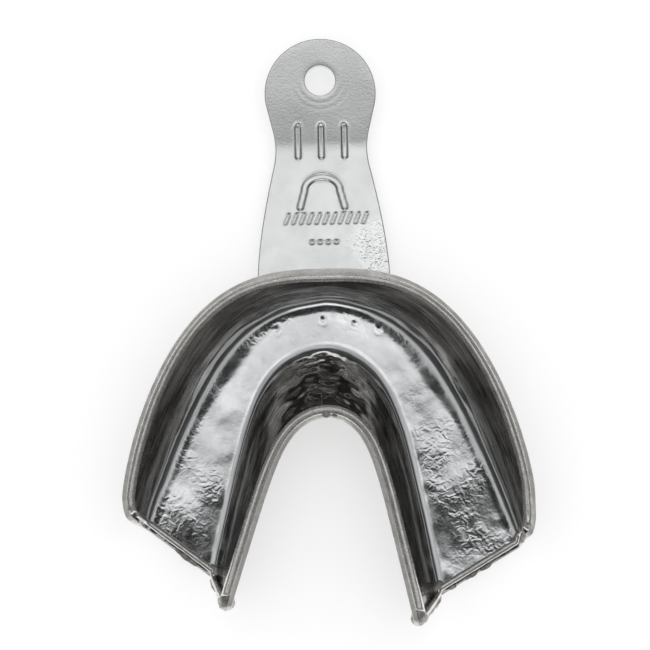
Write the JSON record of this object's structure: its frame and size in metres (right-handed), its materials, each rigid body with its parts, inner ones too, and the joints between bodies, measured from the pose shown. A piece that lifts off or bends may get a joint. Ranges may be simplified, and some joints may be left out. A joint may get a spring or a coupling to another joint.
{
  "type": "dental impression tray",
  "caption": "U-shaped stainless steel rim-lock impression tray for a lower jaw, with an open trough, soldered retention wires and a flat handle with a round, pierced end.",
  "frame": {"origin": "on the handle's underside, on the midline, below the foremost point of the tray's outer rim", "axes": "+Y along the handle away from the tray, +X to the right seen from above with the handle up, +Z the way the trough opens"},
  "size_m": [0.0708, 0.1072, 0.014],
  "materials": {
    "tray_shell": "mirror-polished stainless steel with a faint orange-peel texture",
    "handle": "bright satin stainless steel",
    "rim_wire": "ground stainless wire, bright on its crest",
    "solder": "dull, slightly lumpy solder",
    "weld": "spot-weld nuggets"
  },
  "bodies": {
    "root": {"tray_shell": "tray_shell", "handle": "handle", "buccal_rim_wire": "rim_wire", "lingual_rim_wire": "rim_wire", "heel_wire_left": "rim_wire", "heel_wire_right": "rim_wire", "rim_solder_joints": "solder", "handle_spot_welds": "weld"}
  },
  "joints": []
}
